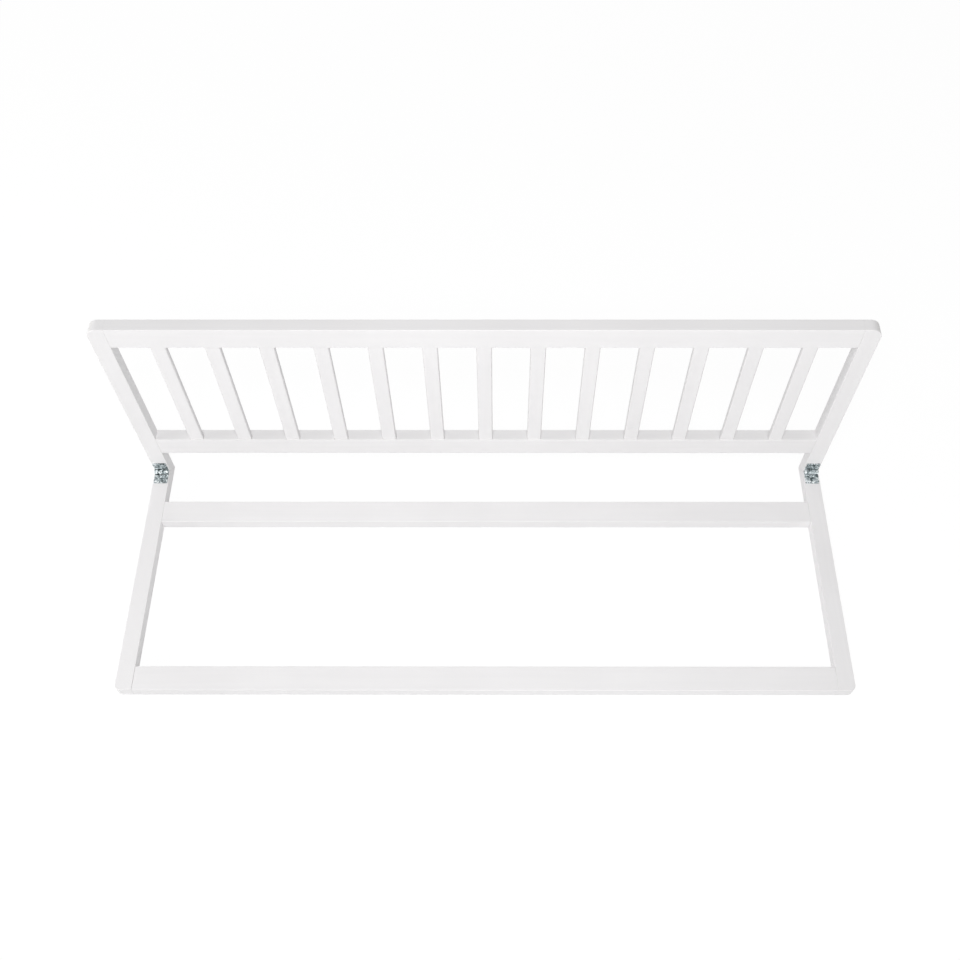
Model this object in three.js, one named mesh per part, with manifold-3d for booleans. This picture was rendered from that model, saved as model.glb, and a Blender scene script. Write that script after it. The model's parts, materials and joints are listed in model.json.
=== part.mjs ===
// Folding bed guard rail: a slatted wooden guard, hinged on a wooden base frame that lies under a mattress.
// Millimetres. +X runs along the guard, the base reaches forward along -Y, and the guard rises along +Z.
// The origin is on the floor, under the middle of the part from end to end and from front to back.

import * as THREE from "three";
import { mergeVertices } from "three/addons/utils/BufferGeometryUtils.js";
import Module from "manifold-3d";

const wasm = await Module();
wasm.setup();

// Overall sizes
const overallWidth = 1200;
const guardHeight = 402; // posts, above the top of the arms
const baseReach = 416; // arms, forward of the front of the posts

// Wooden stock
const stileWidth = 28; // posts and arms, along X
const guardThickness = 21; // posts and guard rails, along Y
const baseThickness = 21; // arms and crossbars, along Z
const edgeRound = 1;

// Guard rails
const topRailHeight = 43;
const lowerRailHeight = 42.5;
const lowerRailRise = 60; // under the lower rail, above the top of the arms

// Slats
const slatCount = 13;
const slatWidth = 24;
const slatThickness = 8.5;
const slatRecess = 1.5; // front of the slats, behind the front of the rails
const slatRound = 2;
const tenonLength = 10; // end of a slat, let into each rail

// Crossbars of the base
const crossbarDepth = 41;
const rearCrossbarSetback = 64; // its rear edge, forward of the front of the posts

// Rounded corners
const postCornerRadius = 18;
const armCornerRadius = 10;

// Dowels
const dowelRadius = 4;
const dowelLength = 30;
const dowelChamfer = 0.8;
const dowelSpreadShare = 0.5; // between the two dowels of a joint, as a share of the rail's width

// Hinges
const hingeLength = 24; // along the pin
const leafReach = 21.5; // from the pin's axis to the far edge of a leaf
const leafThickness = 2;
const leafCornerRadius = 1.6;
const knuckleRadius = 4.5;
const knuckleCount = 3;
const pinRadius = 1.9;
const pinHeadRadius = 2.8;
const pinHeadHeight = 0.6;

// Hinge screws, countersunk with a cross recess
const screwHeadRadius = 3.2;
const screwShankRadius = 1.5;
const screwLength = 16;
const screwTipLength = 3.5;
const screwHeadDrop = 0.15; // head, below the face of the leaf
const screwSpacing = 12.5;
const screwReach = 13; // from the pin's axis to the line of the screws
const recessWidth = 0.8;
const recessSpan = 3.6;
const recessDepth = 1;

// Clearances
const glueLine = 0.1; // between the end of a rail and the face it is glued to
const mitreGap = 0.3; // between a post and its arm, which the hinge opens
const tenonPlay = 0.2;
const dowelPlay = 0.2;
const dowelEndRoom = 1;
const leafSeat = 0.2; // between a leaf and the wood under it
const knuckleGap = 0.3;
const pinPlay = 0.1;
const pinHeadGap = 0.2;
const screwPlay = 0.2;
const screwEndRoom = 1;

// How far a cutting solid runs past the face it cuts
const overrun = 4;

// Steps of the round forms
const cornerSteps = 2;
const bevelSteps = 3;
const dowelSides = 10;
const knuckleSides = 20;
const screwSides = 12;

// Places that follow from the sizes above
const stileCentre = (overallWidth - stileWidth) / 2;
const clearWidth = overallWidth - 2 * stileWidth;
const railLength = clearWidth - 2 * glueLine;
const railMidDepth = guardThickness / 2;
const topRailMid = guardHeight - topRailHeight / 2;
const lowerRailMid = lowerRailRise + lowerRailHeight / 2;
const slatFoot = lowerRailRise + lowerRailHeight;
const slatHead = guardHeight - topRailHeight;
const slatLength = slatHead - slatFoot + 2 * tenonLength;
const slatMidDepth = slatRecess + slatThickness / 2;
const slatPitch = (clearWidth + slatWidth) / (slatCount + 1);
const frontCrossbarMid = crossbarDepth / 2 - baseReach;
const rearCrossbarMid = -rearCrossbarSetback - crossbarDepth / 2;
const baseMidHeight = -baseThickness / 2;
const pinOffset = knuckleRadius + leafSeat; // pin's axis, from the post's front and from the arm's top
const knuckleSlot = hingeLength / knuckleCount;
const screwConeHeight = screwHeadRadius - screwShankRadius; // a countersink of 90 degrees

// The two sides of the part, with the sign of their x
const hands = [
  [-1, "left"],
  [1, "right"],
];

// Materials
function whiteLacquer() {
  return new THREE.MeshStandardMaterial({ color: 0xf0efed, roughness: 0.42, metalness: 0 });
}

function beech() {
  return new THREE.MeshStandardMaterial({ color: 0xc9a577, roughness: 0.7, metalness: 0 });
}

function zincPlate() {
  return new THREE.MeshStandardMaterial({ color: 0xa9b4b8, roughness: 0.38, metalness: 0.9 });
}

// Closed geometry to a solid that can be cut, and back
function solidOf(geometry) {
  const bare = geometry.clone();
  bare.deleteAttribute("normal");
  bare.deleteAttribute("uv");
  const merged = mergeVertices(bare);
  const mesh = new wasm.Mesh({
    numProp: 3,
    vertProperties: new Float32Array(merged.attributes.position.array),
    triVerts: new Uint32Array(merged.index.array),
  });
  return new wasm.Manifold(mesh);
}

function geometryOf(solid) {
  const mesh = solid.getMesh();
  const geometry = new THREE.BufferGeometry();
  geometry.setAttribute("position", new THREE.BufferAttribute(mesh.vertProperties, 3));
  geometry.setIndex(new THREE.BufferAttribute(mesh.triVerts, 1));
  geometry.computeVertexNormals();
  return geometry;
}

function joined(geometries) {
  return geometryOf(geometries.map(solidOf).reduce((whole, next) => whole.add(next)));
}

function cut(geometry, tools) {
  return geometryOf(tools.map(solidOf).reduce((rest, tool) => rest.subtract(tool), solidOf(geometry)));
}

function named(name, geometry, material) {
  const mesh = new THREE.Mesh(geometry, material);
  mesh.name = name;
  return mesh;
}

// Rectangle with rounded corners, centred on the origin
function roundedRectangle(width, height, radius) {
  const outline = new THREE.Shape();
  const corners = [
    [1, 1],
    [-1, 1],
    [-1, -1],
    [1, -1],
  ];
  corners.forEach(([right, up], quarter) => {
    const centreX = right * (width / 2 - radius);
    const centreY = up * (height / 2 - radius);
    const start = (quarter * Math.PI) / 2;
    outline.absarc(centreX, centreY, radius, start, start + Math.PI / 2, false);
  });
  return outline;
}

// Straight lath along X, with rounded long edges and square ends, centred on the origin
function lath(length, depth, height, radius) {
  const section = roundedRectangle(height, depth, radius);
  const geometry = new THREE.ExtrudeGeometry(section, {
    depth: length,
    bevelEnabled: false,
    curveSegments: cornerSteps,
  });
  geometry.translate(0, 0, -length / 2);
  geometry.rotateY(Math.PI / 2);
  return geometry;
}

// Board with an outline in X and Y, all its edges rounded, from z 0 up to its thickness
function board(outline, thickness) {
  const geometry = new THREE.ExtrudeGeometry(outline, {
    depth: thickness - 2 * edgeRound,
    bevelThickness: edgeRound,
    bevelSize: edgeRound,
    bevelOffset: -edgeRound,
    bevelSegments: bevelSteps,
    curveSegments: 2 * cornerSteps,
  });
  geometry.translate(0, 0, edgeRound);
  return geometry;
}

// Strip from one end to the other, with the corner on its outer side rounded at the far end
function stripOutline(side, from, to, radius) {
  const outer = (side * stileWidth) / 2;
  const along = Math.sign(to - from);
  const centreX = outer - side * radius;
  const centreY = to - along * radius;
  const outline = new THREE.Shape();
  outline.moveTo(-outer, from);
  outline.lineTo(outer, from);
  const start = side > 0 ? 0 : Math.PI;
  const end = (along * Math.PI) / 2;
  outline.absarc(centreX, centreY, radius, start, end, side * along < 0);
  outline.lineTo(-outer, to);
  return outline;
}

// Wedge that takes away one side of the mitre between post and arm: above it (1) or under it (-1)
function mitreCutter(above) {
  const slope = new THREE.Vector2(guardThickness, -baseThickness);
  const span = slope.length();
  const down = slope.clone().normalize();
  const normal = new THREE.Vector2(-down.y, down.x).multiplyScalar(above);
  const margin = span + overrun;
  const near = normal.clone().multiplyScalar(-mitreGap / 2);
  const far = normal.clone().multiplyScalar(span + margin);
  const start = down.clone().multiplyScalar(-margin);
  const finish = down.clone().multiplyScalar(span + margin);
  const corners = [
    start.clone().add(near),
    finish.clone().add(near),
    finish.clone().add(far),
    start.clone().add(far),
  ];
  const width = stileWidth + 2 * overrun;
  const geometry = new THREE.ExtrudeGeometry(new THREE.Shape(corners), {
    depth: width,
    bevelEnabled: false,
  });
  geometry.translate(0, 0, -width / 2);
  geometry.rotateZ(Math.PI / 2);
  geometry.rotateY(Math.PI / 2);
  return geometry;
}

// Peg along X, turned about its axis from a profile of radius and place
function turned(profile, sides) {
  const points = profile.map(([radius, place]) => new THREE.Vector2(radius, place));
  const geometry = new THREE.LatheGeometry(points, sides);
  geometry.rotateZ(-Math.PI / 2);
  return geometry;
}

// Dowels
function dowelGeometry() {
  const end = dowelLength / 2;
  const shoulder = end - dowelChamfer;
  const nose = dowelRadius - dowelChamfer;
  const profile = [
    [0, -end],
    [nose, -end],
    [dowelRadius, -shoulder],
    [dowelRadius, shoulder],
    [nose, end],
    [0, end],
  ];
  return turned(profile, dowelSides);
}

function dowelHole(x, y, z) {
  const end = dowelLength / 2 + dowelEndRoom;
  const radius = dowelRadius + dowelPlay;
  const profile = [
    [0, -end],
    [radius, -end],
    [radius, end],
    [0, end],
  ];
  const geometry = turned(profile, dowelSides);
  geometry.translate(x, y, z);
  return geometry;
}

// The two places of a joint's dowels, either side of the middle of a rail of this width
function dowelSteps(width) {
  const half = (dowelSpreadShare * width) / 2;
  return [-half, half];
}

// Hinge screws, pointing down with the head's face at z 0
function screwGeometry() {
  const profile = [
    [0, -screwLength],
    [screwShankRadius, screwTipLength - screwLength],
    [screwShankRadius, -screwConeHeight],
    [screwHeadRadius, 0],
    [0, 0],
  ];
  const body = turned(profile, screwSides);
  body.rotateY(-Math.PI / 2);
  const slot = new THREE.BoxGeometry(recessSpan, recessWidth, 2 * recessDepth);
  const crossSlot = new THREE.BoxGeometry(recessWidth, recessSpan, 2 * recessDepth);
  return cut(body, [joined([slot, crossSlot])]);
}

// Hole for a screw through leaf and wood, open past the head
function screwHole() {
  const bottom = -screwLength - screwEndRoom;
  const shank = screwShankRadius + screwPlay;
  const mouth = screwHeadRadius + screwPlay;
  const profile = [
    [0, bottom],
    [shank, bottom + screwTipLength],
    [shank, -screwConeHeight - screwPlay],
    [mouth, -screwPlay],
    [mouth, overrun],
    [0, overrun],
  ];
  const geometry = turned(profile, screwSides);
  geometry.rotateY(-Math.PI / 2);
  return geometry;
}

// Places of a leaf's two screws along the pin
function screwSteps() {
  return [-screwSpacing / 2, screwSpacing / 2];
}

// Hinge leaf that lies forward of the pin, with its outer face down; the pin's axis is the X axis
function leafGeometry(ownSlots) {
  const plateStart = -(knuckleRadius + knuckleGap);
  const plateDepth = leafReach + plateStart;
  const outline = roundedRectangle(hingeLength, plateDepth, leafCornerRadius);
  const plate = new THREE.ExtrudeGeometry(outline, {
    depth: leafThickness,
    bevelEnabled: false,
    curveSegments: cornerSteps,
  });
  plate.translate(0, plateStart - plateDepth / 2, -knuckleRadius);
  const knuckles = ownSlots.map((slot) => knuckleGeometry(slot));
  const holes = screwSteps().map((x) => {
    const hole = screwHole();
    hole.translate(x, -screwReach, leafThickness - knuckleRadius - screwHeadDrop);
    return hole;
  });
  return cut(joined([plate, ...knuckles]), holes);
}

// One rolled knuckle in its slot along the pin, with a strap that runs on into the plate past its corner
function knuckleGeometry(slot) {
  const width = knuckleSlot - knuckleGap;
  const outline = new THREE.Shape();
  const strapEnd = -(knuckleRadius + knuckleGap + leafCornerRadius + leafThickness);
  const strapTop = leafThickness - knuckleRadius;
  const meeting = -Math.sqrt(knuckleRadius ** 2 - strapTop ** 2);
  const meetingAngle = Math.atan2(strapTop, meeting);
  outline.moveTo(strapEnd, -knuckleRadius);
  outline.absarc(0, 0, knuckleRadius, -Math.PI / 2, meetingAngle, false);
  outline.lineTo(strapEnd, strapTop);
  const bore = new THREE.Path();
  bore.absarc(0, 0, pinRadius + pinPlay, 0, 2 * Math.PI, true);
  outline.holes.push(bore);
  const geometry = new THREE.ExtrudeGeometry(outline, {
    depth: width,
    bevelEnabled: false,
    curveSegments: knuckleSides / 2,
  });
  geometry.translate(0, 0, -width / 2);
  geometry.rotateZ(Math.PI / 2);
  geometry.rotateY(Math.PI / 2);
  geometry.translate((slot - (knuckleCount - 1) / 2) * knuckleSlot, 0, 0);
  return geometry;
}

function pinGeometry() {
  const shoulder = hingeLength / 2 + pinHeadGap;
  const end = shoulder + pinHeadHeight;
  const profile = [
    [0, -end],
    [pinRadius, -end],
    [pinHeadRadius, -shoulder],
    [pinRadius, -shoulder],
    [pinRadius, shoulder],
    [pinHeadRadius, shoulder],
    [pinRadius, end],
    [0, end],
  ];
  return turned(profile, knuckleSides);
}

// Guard
function postGeometry(side) {
  const foot = -(baseThickness + edgeRound + overrun);
  const geometry = board(stripOutline(side, foot, guardHeight, postCornerRadius), guardThickness);
  geometry.rotateX(Math.PI / 2);
  geometry.translate(0, guardThickness, 0);
  const innerFace = (-side * stileWidth) / 2;
  const rails = [
    [topRailMid, topRailHeight],
    [lowerRailMid, lowerRailHeight],
  ];
  const dowels = rails.flatMap(([middle, height]) =>
    dowelSteps(height).map((step) => dowelHole(innerFace, railMidDepth, middle + step)),
  );
  const screws = screwSteps().map((x) => {
    const hole = screwHole();
    hole.rotateX(Math.PI / 2);
    hole.translate(x, screwHeadDrop - leafThickness - leafSeat, pinOffset + screwReach);
    return hole;
  });
  return cut(geometry, [mitreCutter(-1), ...dowels, ...screws]);
}

function mortise(x, z) {
  const depth = 2 * (tenonLength + tenonPlay);
  const width = slatWidth + 2 * tenonPlay;
  const thickness = slatThickness + 2 * tenonPlay;
  const section = roundedRectangle(width, thickness, slatRound + tenonPlay);
  const geometry = new THREE.ExtrudeGeometry(section, {
    depth,
    bevelEnabled: false,
    curveSegments: cornerSteps,
  });
  geometry.translate(x, slatMidDepth - railMidDepth, z - depth / 2);
  return geometry;
}

function slatPlaces() {
  return Array.from({ length: slatCount }, (_, i) => (i - (slatCount - 1) / 2) * slatPitch);
}

function endDowelHoles(steps) {
  return [-1, 1].flatMap((side) => steps.map(([y, z]) => dowelHole((side * clearWidth) / 2, y, z)));
}

// Guard rail with its mortises on the upper face (1) or the lower one (-1)
function guardRailGeometry(height, open) {
  const steps = dowelSteps(height).map((step) => [0, step]);
  const mortises = slatPlaces().map((x) => mortise(x, (open * height) / 2));
  return cut(lath(railLength, guardThickness, height, edgeRound), [...mortises, ...endDowelHoles(steps)]);
}

function slatGeometry() {
  const geometry = new THREE.ExtrudeGeometry(roundedRectangle(slatWidth, slatThickness, slatRound), {
    depth: slatLength,
    bevelEnabled: false,
    curveSegments: cornerSteps,
  });
  geometry.translate(0, 0, -slatLength / 2);
  return geometry;
}

// Base
function armGeometry(side) {
  const back = guardThickness + edgeRound + overrun;
  const geometry = board(stripOutline(side, back, -baseReach, armCornerRadius), baseThickness);
  geometry.translate(0, 0, -baseThickness);
  const innerFace = (-side * stileWidth) / 2;
  const dowels = [frontCrossbarMid, rearCrossbarMid].flatMap((middle) =>
    dowelSteps(crossbarDepth).map((step) => dowelHole(innerFace, middle + step, baseMidHeight)),
  );
  const screws = screwSteps().map((x) => {
    const hole = screwHole();
    hole.translate(x, -pinOffset - screwReach, leafThickness + leafSeat - screwHeadDrop);
    return hole;
  });
  return cut(geometry, [mitreCutter(1), ...dowels, ...screws]);
}

function crossbarGeometry() {
  const steps = dowelSteps(crossbarDepth).map((step) => [step, 0]);
  return cut(lath(railLength, crossbarDepth, baseThickness, edgeRound), endDowelHoles(steps));
}

// The dowels that hold one rail between its two posts or arms
function dowels(rail, middle, steps) {
  const group = new THREE.Group();
  const geometry = dowelGeometry();
  for (const [side, hand] of hands) {
    steps.forEach(([y, z], i) => {
      const dowel = named(`${hand}_${rail}_dowel_${i + 1}`, geometry, beech());
      dowel.position.set((side * clearWidth) / 2, middle.y + y, middle.z + z);
      group.add(dowel);
    });
  }
  return group;
}

function guard() {
  const group = new THREE.Group();
  for (const [side, hand] of hands) {
    const post = named(`${hand}_post`, postGeometry(side), whiteLacquer());
    post.position.x = side * stileCentre;
    group.add(post);
  }
  const rails = [
    ["top_rail", topRailHeight, topRailMid, -1],
    ["lower_rail", lowerRailHeight, lowerRailMid, 1],
  ];
  for (const [name, height, middle, open] of rails) {
    const rail = named(name, guardRailGeometry(height, open), whiteLacquer());
    rail.position.set(0, railMidDepth, middle);
    const steps = dowelSteps(height).map((step) => [0, step]);
    group.add(rail, dowels(name, rail.position, steps));
  }
  const slat = slatGeometry();
  slatPlaces().forEach((x, i) => {
    const number = String(i + 1).padStart(2, "0");
    const mesh = named(`slat_${number}`, slat, whiteLacquer());
    mesh.position.set(x, slatMidDepth, (slatFoot + slatHead) / 2);
    group.add(mesh);
  });
  return group;
}

function base() {
  const group = new THREE.Group();
  for (const [side, hand] of hands) {
    const arm = named(`${hand}_arm`, armGeometry(side), whiteLacquer());
    arm.position.x = side * stileCentre;
    group.add(arm);
  }
  const crossbars = [
    ["front_crossbar", frontCrossbarMid],
    ["rear_crossbar", rearCrossbarMid],
  ];
  for (const [name, middle] of crossbars) {
    const crossbar = named(name, crossbarGeometry(), whiteLacquer());
    crossbar.position.set(0, middle, baseMidHeight);
    const steps = dowelSteps(crossbarDepth).map((step) => [step, 0]);
    group.add(crossbar, dowels(name, crossbar.position, steps));
  }
  return group;
}

// One leaf with its two screws, lying forward of the pin with its outer face down
function leafWithScrews(name, ownSlots) {
  const group = new THREE.Group();
  group.add(named(name, leafGeometry(ownSlots), zincPlate()));
  const screw = screwGeometry();
  screwSteps().forEach((x, i) => {
    const mesh = named(`${name}_screw_${i + 1}`, screw, zincPlate());
    mesh.position.set(x, -screwReach, leafThickness - knuckleRadius - screwHeadDrop);
    group.add(mesh);
  });
  return group;
}

// Butt hinge in the inner corner between a post and its arm
function hinge(side, hand) {
  const group = new THREE.Group();
  const slots = Array.from({ length: knuckleCount }, (_, i) => i);
  const lower = leafWithScrews(`${hand}_hinge_lower_leaf`, slots.filter((slot) => slot % 2 === 0));
  const upper = leafWithScrews(`${hand}_hinge_upper_leaf`, slots.filter((slot) => slot % 2 === 1));
  const mitreLine = new THREE.Vector3(0, 1, -1).normalize();
  upper.quaternion.setFromAxisAngle(mitreLine, Math.PI);
  group.add(lower, upper, named(`${hand}_hinge_pin`, pinGeometry(), zincPlate()));
  group.position.set(side * stileCentre, -pinOffset, pinOffset);
  return group;
}

const assembly = new THREE.Group();
assembly.add(guard(), base(), ...hands.map(([side, hand]) => hinge(side, hand)));
assembly.position.set(0, (baseReach - guardThickness) / 2, baseThickness);

const guardRail = new THREE.Group();
guardRail.add(assembly);

export default guardRail;
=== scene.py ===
import json
import math

import bmesh
import bpy
from mathutils import Matrix, Vector


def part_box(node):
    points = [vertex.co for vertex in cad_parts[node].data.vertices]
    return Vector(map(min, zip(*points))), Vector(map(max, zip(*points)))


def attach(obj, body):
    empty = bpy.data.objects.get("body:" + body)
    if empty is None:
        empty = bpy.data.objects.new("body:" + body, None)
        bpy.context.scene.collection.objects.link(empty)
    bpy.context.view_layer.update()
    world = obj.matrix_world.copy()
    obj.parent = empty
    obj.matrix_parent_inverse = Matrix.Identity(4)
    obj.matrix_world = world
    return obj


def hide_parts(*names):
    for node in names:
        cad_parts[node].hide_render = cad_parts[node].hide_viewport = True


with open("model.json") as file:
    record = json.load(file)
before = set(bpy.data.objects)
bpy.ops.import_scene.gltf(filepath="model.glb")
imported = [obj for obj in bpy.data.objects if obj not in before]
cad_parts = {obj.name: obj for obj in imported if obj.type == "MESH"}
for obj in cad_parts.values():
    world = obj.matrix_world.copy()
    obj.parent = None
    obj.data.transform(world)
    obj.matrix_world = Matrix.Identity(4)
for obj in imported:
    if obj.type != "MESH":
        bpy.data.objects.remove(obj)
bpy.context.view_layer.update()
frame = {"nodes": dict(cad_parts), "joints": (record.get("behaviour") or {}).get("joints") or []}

# Folding bed guard rail: fine painted boards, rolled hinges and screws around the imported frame.
# Metres. +X runs along the guard, the base reaches forward along -Y, and the guard rises along +Z.

HANDS = (("left", -1), ("right", 1))
BASE = "base_frame"
GUARD = "guard_panel"

# Edges and corners of the boards
LONG_EDGE = 0.0010
SEAM_EDGE = 0.0007
END_EDGE = 0.0005
SLAT_EDGE = 0.0020
POST_CORNER = 0.018
ARM_CORNER = 0.010
MITRE_GAP = 0.0003
OPEN_JOINT = 0.0003
QUARTER = math.radians(90)
EDGE_STEPS = 6
CORNER_STEPS = 14

# Finishing of the meshes
WELD = 0.0000002
LENGTH_DIGITS = 9
SHARP_ANGLE = math.radians(32)
NORMAL_WEIGHT = 100

# Hollows in the boards
TENON = 0.010
PLAY = 0.0002
DOWEL_RADIUS = 0.004
DOWEL_END_ROOM = 0.001
HOLE_SIDES = 28

# Hinges, about the pin's axis
LEAF_THICKNESS = 0.002
LEAF_REACH = 0.0215
LEAF_CORNER = 0.0016
LEAF_EDGE = 0.00025
KNUCKLE_RADIUS = 0.0045
KNUCKLE_GAP = 0.0003
KNUCKLE_COUNT = 3
KNUCKLE_STEPS = 36
ROLL_END = math.radians(203)
PIN_RADIUS = 0.0019
PIN_HEAD_RADIUS = 0.0028
PIN_HEAD_GAP = 0.0002
DOME_SHARES = ((1.0, 0.0), (0.93, 0.45), (0.66, 0.86), (0.0, 1.0))

# Screws
SCREW_HEAD_RADIUS = 0.0032
SCREW_SHANK_RADIUS = 0.0015
SCREW_TIP = 0.0035
SCREW_RIM = 0.0002
RECESS_SPAN = 0.0036
RECESS_WIDTH = 0.0009
RECESS_DEPTH = 0.0011
RECESS_FOOT_SPAN_SHARE = 0.45
RECESS_FOOT_WIDTH_SHARE = 0.75
ROUND_SIDES = 40


# Meshes
def object_of(name, bm):
    """A new object that holds the finished bmesh."""
    bmesh.ops.recalc_face_normals(bm, faces=bm.faces)
    mesh = bpy.data.meshes.new(name)
    bm.to_mesh(mesh)
    bm.free()
    obj = bpy.data.objects.new(name, mesh)
    bpy.context.scene.collection.objects.link(obj)
    return obj


def outline_of(corners):
    """Points and edge radii of a right-angled outline.

    Each corner is its place, its own radius, and the edge radius of the side after it.
    """
    points, edges = [], []
    for i, (corner, bend, edge) in enumerate(corners):
        here = Vector(corner)
        inward = (here - Vector(corners[i - 1][0])).normalized()
        onward = (Vector(corners[(i + 1) % len(corners)][0]) - here).normalized()
        if bend == 0:
            points.append(here)
            edges.append(edge)
            continue
        centre = here - bend * inward + bend * onward
        for step in range(CORNER_STEPS + 1):
            turn = QUARTER * step / CORNER_STEPS
            points.append(centre - bend * math.cos(turn) * onward + bend * math.sin(turn) * inward)
            edges.append(edge)
    return points, edges


def inset(points, edges, height):
    """The outline at this height above the face, drawn in along each side's own quarter round."""
    sides = []
    for i, point in enumerate(points):
        along = (points[(i + 1) % len(points)] - point).normalized()
        normal = Vector((-along.y, along.x))
        rise = max(0.0, edges[i] - height)
        depth = edges[i] - math.sqrt(max(0.0, edges[i] ** 2 - rise**2))
        sides.append((normal, normal.dot(point) + depth))
    ring = []
    for i in range(len(points)):
        (a, c), (b, d) = sides[i - 1], sides[i]
        cross = a.x * b.y - a.y * b.x
        ring.append(Vector(((c * b.y - d * a.y) / cross, (d * a.x - c * b.x) / cross)))
    return ring


def add_board(bm, points, edges, low, high, place):
    """A closed board between two levels, each of its edges rounded by that side's radius."""
    shares = [1 - math.cos(QUARTER * step / EDGE_STEPS) for step in range(EDGE_STEPS + 1)]
    heights = sorted({round(edge * share, LENGTH_DIGITS) for edge in set(edges) for share in shares})
    levels = [(low + h, h) for h in heights] + [(high - h, h) for h in reversed(heights)]
    rings = []
    for level, height in levels:
        ring = inset(points, edges, height)
        rings.append([bm.verts.new(place(p.x, p.y, level)) for p in ring])
    bm.faces.new(rings[0])
    bm.faces.new(rings[-1])
    count = len(points)
    for lower, upper in zip(rings, rings[1:]):
        for i in range(count):
            j = (i + 1) % count
            bm.faces.new((lower[i], lower[j], upper[j], upper[i]))


def upright(x, z, y):
    """Board whose faces look along Y."""
    return Vector((x, y, z))


def flat(x, y, z):
    """Board whose faces look along Z."""
    return Vector((x, y, z))


def across(y, z, x):
    """Board whose faces look along X."""
    return Vector((x, y, z))


def add_turned(bm, profile, matrix, sides=ROUND_SIDES):
    """A closed turned body from (radius, height) pairs; the first and last lie on the axis."""
    rings = []
    for radius, height in profile:
        if radius == 0:
            rings.append([bm.verts.new(matrix @ Vector((0, 0, height)))])
            continue
        turns = [2 * math.pi * i / sides for i in range(sides)]
        ring = [Vector((radius * math.cos(t), radius * math.sin(t), height)) for t in turns]
        rings.append([bm.verts.new(matrix @ point) for point in ring])
    for lower, upper in zip(rings, rings[1:]):
        for i in range(sides):
            corners = [lower[i % len(lower)], lower[(i + 1) % len(lower)]]
            corners += [upper[(i + 1) % len(upper)], upper[i % len(upper)]]
            bm.faces.new(list(dict.fromkeys(corners)))


def combine(obj, cutter, operation):
    """Cuts or joins one object with another, which is used up, and welds the result."""
    modifier = obj.modifiers.new("combine", "BOOLEAN")
    modifier.operation = operation
    modifier.solver = "EXACT"
    modifier.object = cutter
    bpy.context.view_layer.update()
    evaluated = obj.evaluated_get(bpy.context.evaluated_depsgraph_get())
    mesh = bpy.data.meshes.new_from_object(evaluated)
    obj.modifiers.clear()
    obj.data = mesh
    mesh.name = obj.name
    bpy.data.objects.remove(cutter)
    bm = bmesh.new()
    bm.from_mesh(mesh)
    bmesh.ops.remove_doubles(bm, verts=bm.verts, dist=WELD)
    bm.to_mesh(mesh)
    bm.free()
    return obj


def dressed(obj, node, body, material):
    """Smooth shading, the finish, and the CAD node that the piece stands for."""
    obj.data.materials.clear()
    obj.data.materials.append(material)
    obj.data.polygons.foreach_set("material_index", [0] * len(obj.data.polygons))
    obj.data.polygons.foreach_set("use_smooth", [True] * len(obj.data.polygons))
    obj.data.set_sharp_from_angle(angle=SHARP_ANGLE)
    normals = obj.modifiers.new("flat_faces_stay_flat", "WEIGHTED_NORMAL")
    normals.keep_sharp = True
    normals.weight = NORMAL_WEIGHT
    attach(obj, body)
    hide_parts(node)


# Materials: linear colours, and texture scales per metre
LACQUER_STOPS = ((0.3, (0.844, 0.833, 0.838)), (0.7, (0.877, 0.867, 0.872)))
# Darker tone of the rounded edges: partly worn, thin film and partly painted shade
THIN_LACQUER_AND_EDGE_SHADE = (0.80, 0.785, 0.765)
# Painted shade on the slats' faces along X
SIDE_SHADE_COLOUR = (0.52, 0.51, 0.515)
FIBRE_STRETCH = 0.035
FIBRE_SCALE = 620
BAND_SCALE = 90
PEEL_SCALE = 380
DRIFT_SCALE = 5.5
FIBRE_RELIEF = 0.00012
PEEL_RELIEF = 0.00010
ZINC_STOPS = (
    (0.0, (0.035, 0.045, 0.047)),
    (0.36, (0.13, 0.16, 0.165)),
    (0.62, (0.38, 0.43, 0.445)),
    (1.0, (0.84, 0.88, 0.89)),
)
ZINC_SHAKE = (0.0022, 0.0022, 0.0022)
ZINC_FINE_SCALE = 2600
ZINC_RELIEF = 0.00008
ZINC_FINE_RELIEF = 0.00003
BEECH_STOPS = ((0.35, (0.50, 0.33, 0.19)), (0.65, (0.68, 0.50, 0.32)))
BEECH_STRETCH = 0.05
BEECH_SCALE = 900
BEECH_RELIEF = 0.0002


def shader_of(name, **values):
    """A node material and its Principled shader, with the values that are the same all over."""
    material = bpy.data.materials.new(name)
    material.use_nodes = True
    tree = material.node_tree
    shader = tree.nodes["Principled BSDF"]
    for key, value in values.items():
        shader.inputs[key.replace("_", " ")].default_value = value
    return material, tree, shader


def add_node(tree, kind, settings=None, **inputs):
    """A node with its settings, and its inputs set or linked."""
    node = tree.nodes.new(kind)
    for key, value in (settings or {}).items():
        setattr(node, key, value)
    for key, value in inputs.items():
        socket = node.inputs[int(key[1:])] if key[0] == "i" and key[1:].isdigit() else node.inputs[key]
        if isinstance(value, bpy.types.NodeSocket):
            tree.links.new(value, socket)
        else:
            socket.default_value = value
    return node


def ramp_of(tree, factor, stops):
    """A colour ramp over the factor, from (position, colour) stops."""
    node = add_node(tree, "ShaderNodeValToRGB", Fac=factor)
    elements = node.color_ramp.elements
    while len(elements) < len(stops):
        elements.new(0.5)
    for element, (position, colour) in zip(elements, stops):
        element.position = position
        element.color = (*colour, 1)
    return node.outputs["Color"]


def noise_of(tree, vector, scale, detail, roughness=0.5, distortion=0.0):
    """A noise's grey value."""
    values = {"Scale": scale, "Detail": detail, "Roughness": roughness, "Distortion": distortion}
    return add_node(tree, "ShaderNodeTexNoise", Vector=vector, **values).outputs["Fac"]


def math_of(tree, operation, first, second):
    """The result of one step of arithmetic."""
    return add_node(tree, "ShaderNodeMath", {"operation": operation}, i0=first, i1=second).outputs[0]


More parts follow.
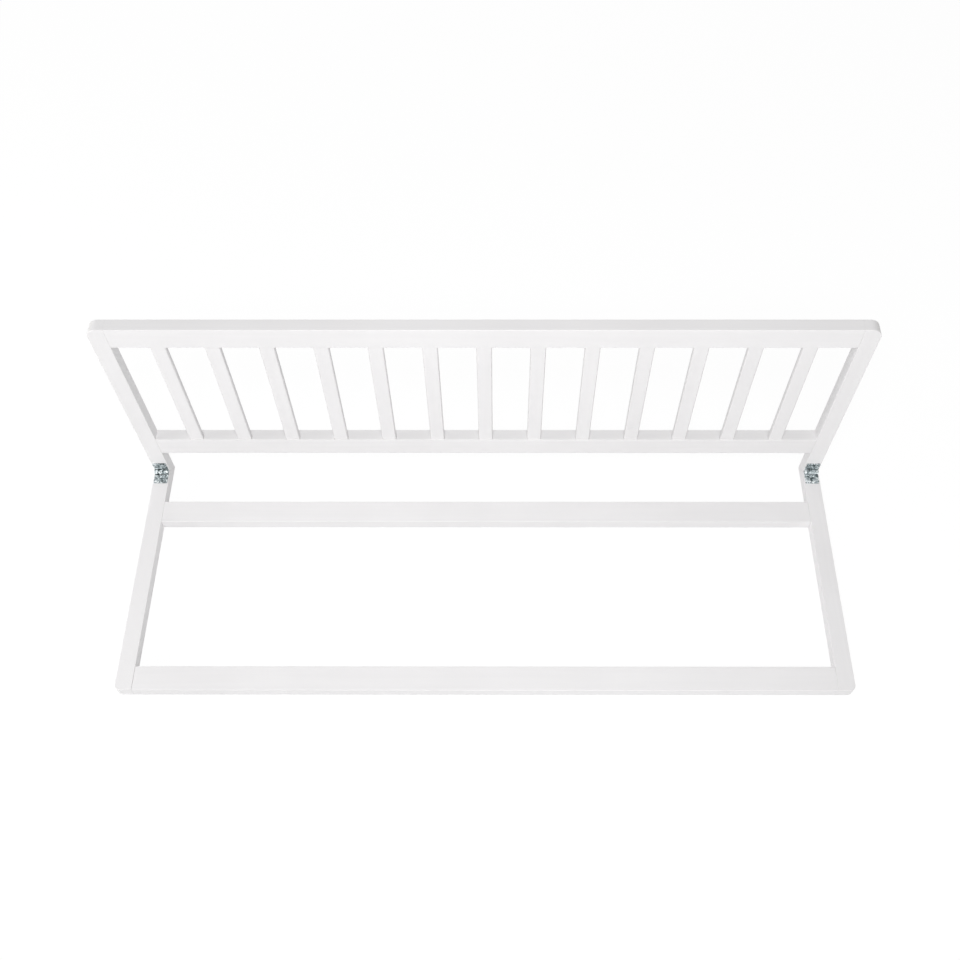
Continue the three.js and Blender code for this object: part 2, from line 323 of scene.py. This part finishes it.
def mix_of(tree, factor, colour, other):
    """A linked colour, mixed with a plain one by the factor."""
    node = add_node(tree, "ShaderNodeMix", {"data_type": "RGBA"}, Factor=factor)
    tree.links.new(colour, node.inputs["A"])
    node.inputs["B"].default_value = (*other, 1)
    return node.outputs["Result"]


def range_of(tree, value, low, high, start=0.0, end=1.0):
    """The value carried from start..end to low..high."""
    node = add_node(tree, "ShaderNodeMapRange", Value=value)
    for key, number in (("From Min", start), ("From Max", end), ("To Min", low), ("To Max", high)):
        node.inputs[key].default_value = number
    return node.outputs["Result"]


def bump_of(tree, height, distance, strength, normal=None):
    """A bump over the height, on top of another one."""
    node = add_node(tree, "ShaderNodeBump", Height=height, Distance=distance, Strength=strength)
    if normal is not None:
        tree.links.new(normal, node.inputs["Normal"])
    return node.outputs["Normal"]


def lacquer(name, grain, sides=0.0):
    """White satin lacquer over straight-grained wood along the given axis.

    Rounded edges get a darker tone, partly worn film and partly painted shade; faces along X are darkened as
    painted shade by the share in sides.
    """
    material, tree, shader = shader_of(name, Coat_Weight=0.15, Coat_Roughness=0.28)
    texture_place = add_node(tree, "ShaderNodeTexCoord")
    place = texture_place.outputs["Object"]
    stretch = [1.0, 1.0, 1.0]
    stretch["xyz".index(grain)] = FIBRE_STRETCH
    fibre_place = add_node(tree, "ShaderNodeMapping", Vector=place, Scale=stretch).outputs["Vector"]
    fibres = noise_of(tree, fibre_place, FIBRE_SCALE, 5, 0.62, 0.3)
    bands = noise_of(tree, fibre_place, BAND_SCALE, 3, 0.5, 0.6)
    peel = noise_of(tree, place, PEEL_SCALE, 2, 0.45)
    drift = noise_of(tree, place, DRIFT_SCALE, 3, 0.5)
    film = ramp_of(tree, drift, LACQUER_STOPS)
    grain_tint = range_of(tree, bands, 0.985, 1.0, 0.35, 0.65)
    tinted = add_node(tree, "ShaderNodeVectorMath", {"operation": "SCALE"}, i0=film, Scale=grain_tint)
    facing = texture_place.outputs["Normal"]
    facing = add_node(tree, "ShaderNodeVectorMath", {"operation": "ABSOLUTE"}, i0=facing).outputs["Vector"]
    facing = add_node(tree, "ShaderNodeSeparateXYZ", Vector=facing).outputs
    squareness = math_of(tree, "MAXIMUM", math_of(tree, "MAXIMUM", facing["X"], facing["Y"]), facing["Z"])
    # Rounded edges, darkened in patches: partly worn film, partly painted shade
    edge_wear_and_shade = range_of(tree, squareness, 1.0, 0.0, 0.75, 0.97)
    patchy_edge_wear_and_shade = math_of(tree, "MULTIPLY", edge_wear_and_shade, fibres)
    colour = mix_of(tree, patchy_edge_wear_and_shade, tinted.outputs["Vector"], THIN_LACQUER_AND_EDGE_SHADE)
    # Painted shade: faces along X darkened by the share in sides
    if sides:
        painted_side_shade = range_of(tree, facing["X"], 0.0, sides, 0.1, 0.7)
        colour = mix_of(tree, painted_side_shade, colour, SIDE_SHADE_COLOUR)
    tree.links.new(colour, shader.inputs["Base Color"])
    tree.links.new(range_of(tree, peel, 0.34, 0.47, 0.3, 0.7), shader.inputs["Roughness"])
    coarse = bump_of(tree, fibres, FIBRE_RELIEF, 0.22)
    tree.links.new(bump_of(tree, peel, PEEL_RELIEF, 0.12, coarse), shader.inputs["Normal"])
    return material


def zinc(name, scale, darkest=0.0, brightest=1.0):
    """Bright zinc plate over pressed steel, mottled between two tones where the passivation took unevenly."""
    material, tree, shader = shader_of(name, Metallic=1.0)
    place = add_node(tree, "ShaderNodeTexCoord").outputs["Object"]
    swirl = add_node(tree, "ShaderNodeTexNoise", Vector=place, Scale=scale * 0.8, Detail=3.0).outputs["Color"]
    shake = {"i0": swirl, "i1": ZINC_SHAKE, "i2": place}
    shaken = add_node(tree, "ShaderNodeVectorMath", {"operation": "MULTIPLY_ADD"}, **shake).outputs["Vector"]
    cells = add_node(tree, "ShaderNodeTexVoronoi", {"feature": "F1"}, Vector=shaken, Scale=scale)
    shade = add_node(tree, "ShaderNodeSeparateColor", Color=cells.outputs["Color"]).outputs["Red"]
    cloud = noise_of(tree, place, scale * 1.7, 4, 0.6, 0.8)
    tone = range_of(tree, math_of(tree, "ADD", shade, cloud), darkest, brightest, 0.25, 1.45)
    tree.links.new(ramp_of(tree, tone, ZINC_STOPS), shader.inputs["Base Color"])
    tree.links.new(range_of(tree, cloud, 0.34, 0.56, 0.3, 0.7), shader.inputs["Roughness"])
    fine = noise_of(tree, place, ZINC_FINE_SCALE, 3, 0.6)
    relief = bump_of(tree, tone, ZINC_RELIEF, 0.25)
    tree.links.new(bump_of(tree, fine, ZINC_FINE_RELIEF, 0.3, relief), shader.inputs["Normal"])
    return material


def beech(name):
    """Raw beech, its fibres along X."""
    material, tree, shader = shader_of(name, Roughness=0.72)
    place = add_node(tree, "ShaderNodeTexCoord").outputs["Object"]
    stretch = (BEECH_STRETCH, 1.0, 1.0)
    fibre_place = add_node(tree, "ShaderNodeMapping", Vector=place, Scale=stretch).outputs["Vector"]
    fibres = noise_of(tree, fibre_place, BEECH_SCALE, 4, 0.6, 0.4)
    tree.links.new(ramp_of(tree, fibres, BEECH_STOPS), shader.inputs["Base Color"])
    tree.links.new(bump_of(tree, fibres, BEECH_RELIEF, 0.4), shader.inputs["Normal"])
    return material


MATERIALS = {
    "x": lacquer("lacquer_along_x", "x"),
    "y": lacquer("lacquer_along_y", "y"),
    "z": lacquer("lacquer_along_z", "z"),
    # The slats' lacquer paints shade on their faces along X
    "slat": lacquer("lacquer_of_slats_painted_side_shade", "z", 0.3),
    "leaf": zinc("zinc_leaf", 340, 0.0, 1.03),
    "pin": zinc("zinc_pin", 700),
    "screw": zinc("zinc_screw", 520, 0.3, 0.85),
    "beech": beech("raw_beech"),
}

# Places from the frame
pin_place = Vector(frame["joints"][0]["pos_m"])
slats = sorted(name for name in frame["nodes"] if name.startswith("slat_"))
post_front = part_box("lower_rail")[0].y
arm_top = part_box("front_crossbar")[1].z


def dowel_cutters(bm, board):
    """Holes round the dowels that reach into this board."""
    low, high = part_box(board)
    for name in sorted(frame["nodes"]):
        if "_dowel_" not in name:
            continue
        start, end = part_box(name)
        middle = (start + end) / 2
        inside = all(low[i] - PLAY <= middle[i] <= high[i] + PLAY for i in (1, 2))
        if not inside or end.x < low.x or start.x > high.x:
            continue
        half = (end.x - start.x) / 2 + DOWEL_END_ROOM
        radius = DOWEL_RADIUS + PLAY
        turn = Matrix.Translation(middle) @ Matrix.Rotation(QUARTER, 4, "Y")
        add_turned(bm, [(0, -half), (radius, -half), (radius, half), (0, half)], turn, HOLE_SIDES)


def screw_matrix(node):
    """From the screw's own frame, head up at the origin, to where the CAD has it."""
    low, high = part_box(node)
    middle = (low + high) / 2
    if "lower" in node:
        return Matrix.Translation((middle.x, middle.y, high.z))
    return Matrix.Translation((middle.x, low.y, middle.z)) @ Matrix.Rotation(QUARTER, 4, "X")


def screw_nodes(leaf):
    """The screws of one leaf."""
    return sorted(name for name in frame["nodes"] if name.startswith(leaf + "_screw_"))


def add_screw_hole(bm, node):
    """Hole round one screw, open past its head."""
    low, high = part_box(node)
    length = max(high - low)
    cone = SCREW_HEAD_RADIUS - SCREW_SHANK_RADIUS
    shank = SCREW_SHANK_RADIUS + PLAY
    mouth = SCREW_HEAD_RADIUS + PLAY
    profile = [(0, -length - PLAY), (shank, -length + SCREW_TIP), (shank, -cone - PLAY)]
    profile += [(mouth, -PLAY), (mouth, LEAF_THICKNESS), (0, LEAF_THICKNESS)]
    add_turned(bm, profile, screw_matrix(node), HOLE_SIDES)


def add_mortises(bm, depth_from, depth_to):
    """Slots round the slats' ends between two heights."""
    for slat in slats:
        low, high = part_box(slat)
        left, right = low.x - PLAY, high.x + PLAY
        front, back = low.y - PLAY, high.y + PLAY
        corners = [((left, front), SLAT_EDGE, 0), ((right, front), SLAT_EDGE, 0)]
        corners += [((right, back), SLAT_EDGE, 0), ((left, back), SLAT_EDGE, 0)]
        points, edges = outline_of(corners)
        add_board(bm, points, edges, depth_from, depth_to, flat)


def mitre_cut(bm, keep):
    """Cuts a post's foot (1) or an arm's heel (-1) along the mitre from the inner corner to the outer one."""
    inner = Vector((0, post_front, arm_top))
    outer = Vector((0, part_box("lower_rail")[1].y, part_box("left_arm")[0].z))
    slope = (outer - inner).normalized()
    normal = keep * Vector((0, -slope.z, slope.y))
    plane = inner + normal * MITRE_GAP / 2
    geometry = bm.verts[:] + bm.edges[:] + bm.faces[:]
    cut = bmesh.ops.bisect_plane(bm, geom=geometry, plane_co=plane, plane_no=normal, clear_inner=True)
    rim = [item for item in cut["geom_cut"] if isinstance(item, bmesh.types.BMEdge)]
    bmesh.ops.holes_fill(bm, edges=rim)


def strip(side, node, far, near, bend, low, high, place):
    """A post or arm: its outer corner at the far end is rounded, and its inner edges are finer."""
    box_low, box_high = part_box(node)
    outer, inner = (box_high.x, box_low.x) if side > 0 else (box_low.x, box_high.x)
    corners = [
        ((outer, near), 0, LONG_EDGE),
        ((outer, far), bend, LONG_EDGE),
        ((inner, far), 0, SEAM_EDGE),
        ((inner, near), 0, SEAM_EDGE),
    ]
    if side * (far - near) < 0:
        corners = [(corners[i][0], corners[i][1], corners[i - 1][2]) for i in (0, 3, 2, 1)]
    points, edges = outline_of(corners)
    bm = bmesh.new()
    add_board(bm, points, edges, low, high, place)
    return bm


def cut_by(obj, cutters):
    """Takes the cutters out of the object."""
    return combine(obj, object_of(obj.name + "_cutters", cutters), "DIFFERENCE")


def make_post(hand, side):
    node = hand + "_post"
    low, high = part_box(node)
    bm = strip(side, node, high.z, low.z - POST_CORNER, POST_CORNER, low.y, high.y, upright)
    mitre_cut(bm, 1)
    post = object_of(node + "_board", bm)
    cutters = bmesh.new()
    dowel_cutters(cutters, node)
    for screw in screw_nodes(hand + "_hinge_upper_leaf"):
        add_screw_hole(cutters, screw)
    dressed(cut_by(post, cutters), node, GUARD, MATERIALS["z"])


def make_arm(hand, side):
    node = hand + "_arm"
    low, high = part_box(node)
    bm = strip(side, node, low.y, high.y + POST_CORNER, ARM_CORNER, low.z, high.z, flat)
    mitre_cut(bm, -1)
    arm = object_of(node + "_board", bm)
    cutters = bmesh.new()
    dowel_cutters(cutters, node)
    for screw in screw_nodes(hand + "_hinge_lower_leaf"):
        add_screw_hole(cutters, screw)
    dressed(cut_by(arm, cutters), node, BASE, MATERIALS["y"])


def bar(node, place, opening=0.0):
    """A rail or crossbar: long edges rounded, ends only eased, and its left joint opened by the opening."""
    low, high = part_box(node)
    start = low.x + opening
    first, last = (low.z, high.z) if place is upright else (low.y, high.y)
    front, back = (low.y, high.y) if place is upright else (low.z, high.z)
    corners = [
        ((start, first), 0, LONG_EDGE),
        ((high.x, first), 0, END_EDGE),
        ((high.x, last), 0, LONG_EDGE),
        ((start, last), 0, END_EDGE),
    ]
    points, edges = outline_of(corners)
    bm = bmesh.new()
    add_board(bm, points, edges, front, back, place)
    return object_of(node + "_board", bm)


def make_rail(node, slat_end):
    """A guard rail with mortises for the slats' feet (0) or tops (1)."""
    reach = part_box(slats[0])[slat_end].z
    rail = bar(node, upright)
    cutters = bmesh.new()
    dowel_cutters(cutters, node)
    bottom = reach - 2 * TENON if slat_end else reach - PLAY
    top = reach + PLAY if slat_end else reach + 2 * TENON
    add_mortises(cutters, bottom, top)
    dressed(cut_by(rail, cutters), node, GUARD, MATERIALS["x"])


def make_crossbar(node, opening=0.0):
    crossbar = bar(node, flat, opening)
    cutters = bmesh.new()
    dowel_cutters(cutters, node)
    dressed(cut_by(crossbar, cutters), node, BASE, MATERIALS["x"])


def make_slat(node):
    low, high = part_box(node)
    corners = [
        ((low.x, low.z), 0, END_EDGE),
        ((high.x, low.z), 0, SLAT_EDGE),
        ((high.x, high.z), 0, END_EDGE),
        ((low.x, high.z), 0, SLAT_EDGE),
    ]
    points, edges = outline_of(corners)
    bm = bmesh.new()
    add_board(bm, points, edges, low.y, high.y, upright)
    dressed(object_of(node + "_board", bm), node, GUARD, MATERIALS["slat"])


# Hinges: the leaf lies forward of the pin with its outer face down, and the pin's axis is the X axis
def add_plate(bm, length):
    near = -(KNUCKLE_RADIUS + KNUCKLE_GAP)
    half = length / 2
    corners = [
        ((-half, -LEAF_REACH), LEAF_CORNER, LEAF_EDGE),
        ((half, -LEAF_REACH), LEAF_CORNER, LEAF_EDGE),
        ((half, near), 0, LEAF_EDGE),
        ((-half, near), 0, LEAF_EDGE),
    ]
    points, edges = outline_of(corners)
    add_board(bm, points, edges, -KNUCKLE_RADIUS, LEAF_THICKNESS - KNUCKLE_RADIUS, flat)


def add_knuckle(bm, length, slot):
    """A strap that runs out of the plate and rolls round the pin, short of meeting itself."""
    width = length / KNUCKLE_COUNT - KNUCKLE_GAP
    middle = (slot - (KNUCKLE_COUNT - 1) / 2) * length / KNUCKLE_COUNT
    root = -(KNUCKLE_RADIUS + KNUCKLE_GAP + LEAF_THICKNESS)
    bore = KNUCKLE_RADIUS - LEAF_THICKNESS
    turns = [(ROLL_END + QUARTER) * i / KNUCKLE_STEPS - QUARTER for i in range(KNUCKLE_STEPS + 1)]
    points = [Vector((root, -KNUCKLE_RADIUS))]
    points += [KNUCKLE_RADIUS * Vector((math.cos(t), math.sin(t))) for t in turns]
    points += [bore * Vector((math.cos(t), math.sin(t))) for t in reversed(turns)]
    points.append(Vector((root, -bore)))
    edges = [LEAF_EDGE] * len(points)
    add_board(bm, points, edges, middle - width / 2, middle + width / 2, across)


def leaf_matrix(hand, upper):
    """From the leaf's own frame to its place; the upper leaf is turned over about the mitre line."""
    middle = sum(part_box(hand + "_hinge_pin"), Vector()) / 2
    place = Matrix.Translation((middle.x, pin_place.y, pin_place.z))
    if not upper:
        return place
    return place @ Matrix.Rotation(math.pi, 4, Vector((0, 1, -1)))


def make_leaf(hand, upper):
    node = f"{hand}_hinge_{'upper' if upper else 'lower'}_leaf"
    low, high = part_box(node)
    length = high.x - low.x
    bm = bmesh.new()
    add_plate(bm, length)
    leaf = object_of(node + "_plate", bm)
    for slot in range(1 if upper else 0, KNUCKLE_COUNT, 2):
        roll = bmesh.new()
        add_knuckle(roll, length, slot)
        combine(leaf, object_of(node + "_roll", roll), "UNION")
    leaf.data.transform(leaf_matrix(hand, upper))
    for screw in screw_nodes(node):
        hole = bmesh.new()
        add_screw_hole(hole, screw)
        cut_by(leaf, hole)
    body = GUARD if upper else BASE
    dressed(leaf, node, body, MATERIALS["leaf"])


def make_pin(hand):
    node = hand + "_hinge_pin"
    low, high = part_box(node)
    middle = (low + high) / 2
    end = (high.x - low.x) / 2
    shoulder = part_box(hand + "_hinge_lower_leaf")[1].x - middle.x + PIN_HEAD_GAP
    dome = [(PIN_HEAD_RADIUS * wide, shoulder + (end - shoulder) * tall) for wide, tall in DOME_SHARES]
    profile = [(radius, -height) for radius, height in reversed(dome)]
    profile += [(PIN_RADIUS, -shoulder), (PIN_RADIUS, shoulder)] + dome
    bm = bmesh.new()
    turn = Matrix.Translation(middle) @ Matrix.Rotation(QUARTER, 4, "Y")
    add_turned(bm, profile, turn)
    dressed(object_of(node + "_rivet", bm), node, BASE, MATERIALS["pin"])


def add_wedge(bm, matrix):
    """One slot of the recess, which narrows towards its bottom."""
    rings = []
    foot = (-RECESS_DEPTH, RECESS_FOOT_SPAN_SHARE, RECESS_FOOT_WIDTH_SHARE)
    for level, span, width in ((RECESS_DEPTH, 1, 1), foot):
        half = RECESS_SPAN * span / 2
        thick = RECESS_WIDTH * width / 2
        corners = ((-half, -thick), (half, -thick), (half, thick), (-half, thick))
        rings.append([bm.verts.new(matrix @ Vector((x, y, level))) for x, y in corners])
    upper, lower = rings
    bm.faces.new(upper)
    bm.faces.new(lower)
    for i in range(len(upper)):
        bm.faces.new((upper[i - 1], upper[i], lower[i], lower[i - 1]))


def make_screw(node):
    low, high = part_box(node)
    length = max(high - low)
    cone = SCREW_HEAD_RADIUS - SCREW_SHANK_RADIUS
    rim = SCREW_HEAD_RADIUS - SCREW_RIM
    profile = [(0, -length), (SCREW_SHANK_RADIUS, SCREW_TIP - length), (SCREW_SHANK_RADIUS, -cone)]
    profile += [(SCREW_HEAD_RADIUS, -SCREW_RIM), (rim, 0), (0, 0)]
    matrix = screw_matrix(node)
    bm = bmesh.new()
    add_turned(bm, profile, matrix)
    screw = object_of(node + "_body", bm)
    for turn in (0, QUARTER):
        slot = bmesh.new()
        add_wedge(slot, matrix @ Matrix.Rotation(turn, 4, "Z"))
        cut_by(screw, slot)
    body = GUARD if "upper" in node else BASE
    dressed(screw, node, body, MATERIALS["screw"])


for hand, side in HANDS:
    make_post(hand, side)
    make_arm(hand, side)
    make_pin(hand)
    for upper in (False, True):
        make_leaf(hand, upper)
make_rail("top_rail", 1)
make_rail("lower_rail", 0)
make_crossbar("front_crossbar", OPEN_JOINT)
make_crossbar("rear_crossbar")
for name in slats:
    make_slat(name)
for name in sorted(frame["nodes"]):
    if "_screw_" in name:
        make_screw(name)
    if "_dowel_" in name:
        dowel = frame["nodes"][name]
        dowel.data.materials.clear()
        dowel.data.materials.append(MATERIALS["beech"])

# Camera, as the photograph's edges place it
FOCAL_PIXELS = 1101.631
FRAME_PIXELS = 960
CENTRE_PIXELS = (496.417, 482.472)
CAMERA_FROM_CORNER = Vector((0.022784, -1.045199, 1.697912))
CAMERA_PITCH = math.radians(58.9777)
CAMERA_YAW = math.radians(-0.2493)
CAMERA_ROLL = math.radians(-0.1877)
SENSOR = 36.0


def make_camera():
    data = bpy.data.cameras.new("camera")
    data.sensor_width = SENSOR
    data.lens = FOCAL_PIXELS / FRAME_PIXELS * SENSOR
    data.shift_x = (FRAME_PIXELS / 2 - CENTRE_PIXELS[0]) / FRAME_PIXELS
    data.shift_y = (CENTRE_PIXELS[1] - FRAME_PIXELS / 2) / FRAME_PIXELS
    camera = bpy.data.objects.new("camera", data)
    bpy.context.scene.collection.objects.link(camera)
    ahead = Vector((math.sin(CAMERA_YAW), math.cos(CAMERA_YAW), 0)) * math.cos(CAMERA_PITCH)
    ahead.z = -math.sin(CAMERA_PITCH)
    level = ahead.cross(Vector((0, 0, 1))).normalized()
    above = level.cross(ahead)
    right = level * math.cos(CAMERA_ROLL) + above * math.sin(CAMERA_ROLL)
    up = above * math.cos(CAMERA_ROLL) - level * math.sin(CAMERA_ROLL)
    turn = Matrix((right, up, -ahead)).transposed().to_4x4()
    corner = Vector((0, post_front, arm_top))
    camera.matrix_world = Matrix.Translation(corner + CAMERA_FROM_CORNER) @ turn
    bpy.context.scene.camera = camera


# Stage
FLOOR_REACH = 9.0
FLOOR_DROP = 0.0002
FLOOR_GLOW = 1.095
FLOOR_SEEN_SHARE = 0.85
WORLD_LIGHT = 0.41
FLOOR_GREY = (0.60, 0.60, 0.60, 1)
WHITE = (1, 1, 1, 1)
LAMP_TARGET = Vector((0, 0, 0.15))
# Name, azimuth and elevation in degrees, distance and width in metres, power in watts
LAMPS = (
    ("high_key", 0, 63, 1.9, 0.6, 15.7),
    ("low_front", 0, 18, 4.5, 2.4, 66),
    ("low_left", -90, 8, 2.4, 0.7, 17),
    ("rear_fill", -165, 12, 4.5, 1.6, 26),
)


def seen_share(tree, share):
    """The share on rays that show the stage: from the camera, in a gloss or through glass."""
    path = add_node(tree, "ShaderNodeLightPath").outputs
    seen = path["Is Camera Ray"]
    for name in ("Is Glossy Ray", "Is Transmission Ray"):
        seen = math_of(tree, "MAXIMUM", seen, path[name])
    return math_of(tree, "MULTIPLY", seen, share)


def shader_mix(tree, factor, first, second):
    """Two shaders mixed by the factor."""
    node = add_node(tree, "ShaderNodeMixShader", i0=factor)
    tree.links.new(first.outputs[0], node.inputs[1])
    tree.links.new(second.outputs[0], node.inputs[2])
    return node


def make_floor():
    """A pale floor that glows where it is seen, takes shadows, and is clear from below."""
    material = bpy.data.materials.new("floor")
    material.use_nodes = True
    tree = material.node_tree
    tree.nodes.clear()
    surface = add_node(tree, "ShaderNodeBsdfDiffuse", Color=FLOOR_GREY)
    glow = add_node(tree, "ShaderNodeEmission", Color=WHITE, Strength=FLOOR_GLOW)
    top = shader_mix(tree, seen_share(tree, FLOOR_SEEN_SHARE), surface, glow)
    from_below = add_node(tree, "ShaderNodeNewGeometry").outputs["Backfacing"]
    clear = add_node(tree, "ShaderNodeBsdfTransparent")
    sided = shader_mix(tree, from_below, top, clear)
    add_node(tree, "ShaderNodeOutputMaterial", Surface=sided.outputs[0])
    bm = bmesh.new()
    drop = Matrix.Translation((0, 0, -FLOOR_DROP))
    bmesh.ops.create_grid(bm, x_segments=1, y_segments=1, size=FLOOR_REACH, matrix=drop)
    floor = object_of("floor", bm)
    floor.data.materials.append(material)


def make_world():
    """Even light from all round, white where it is seen."""
    world = bpy.data.worlds.new("studio")
    world.use_nodes = True
    tree = world.node_tree
    tree.nodes.clear()
    lit = add_node(tree, "ShaderNodeBackground", Color=WHITE, Strength=WORLD_LIGHT)
    seen = add_node(tree, "ShaderNodeBackground", Color=WHITE, Strength=1.0)
    mixed = shader_mix(tree, seen_share(tree, 1.0), lit, seen)
    add_node(tree, "ShaderNodeOutputWorld", Surface=mixed.outputs[0])
    bpy.context.scene.world = world


def make_lamp(name, azimuth, elevation, distance, size, power):
    """A square soft lamp that faces the middle of the part; azimuth 0 is its front, and 90 its right."""
    data = bpy.data.lights.new(name, "AREA")
    data.size = size
    data.energy = power
    lamp = bpy.data.objects.new(name, data)
    bpy.context.scene.collection.objects.link(lamp)
    a, e = math.radians(azimuth), math.radians(elevation)
    way = Vector((math.sin(a) * math.cos(e), -math.cos(a) * math.cos(e), math.sin(e)))
    turn = way.to_track_quat("Z", "Y").to_matrix().to_4x4()
    lamp.matrix_world = Matrix.Translation(LAMP_TARGET + way * distance) @ turn


make_camera()
make_floor()
make_world()
for lamp in LAMPS:
    make_lamp(*lamp)

view = bpy.context.scene.view_settings
view.view_transform = "Standard"
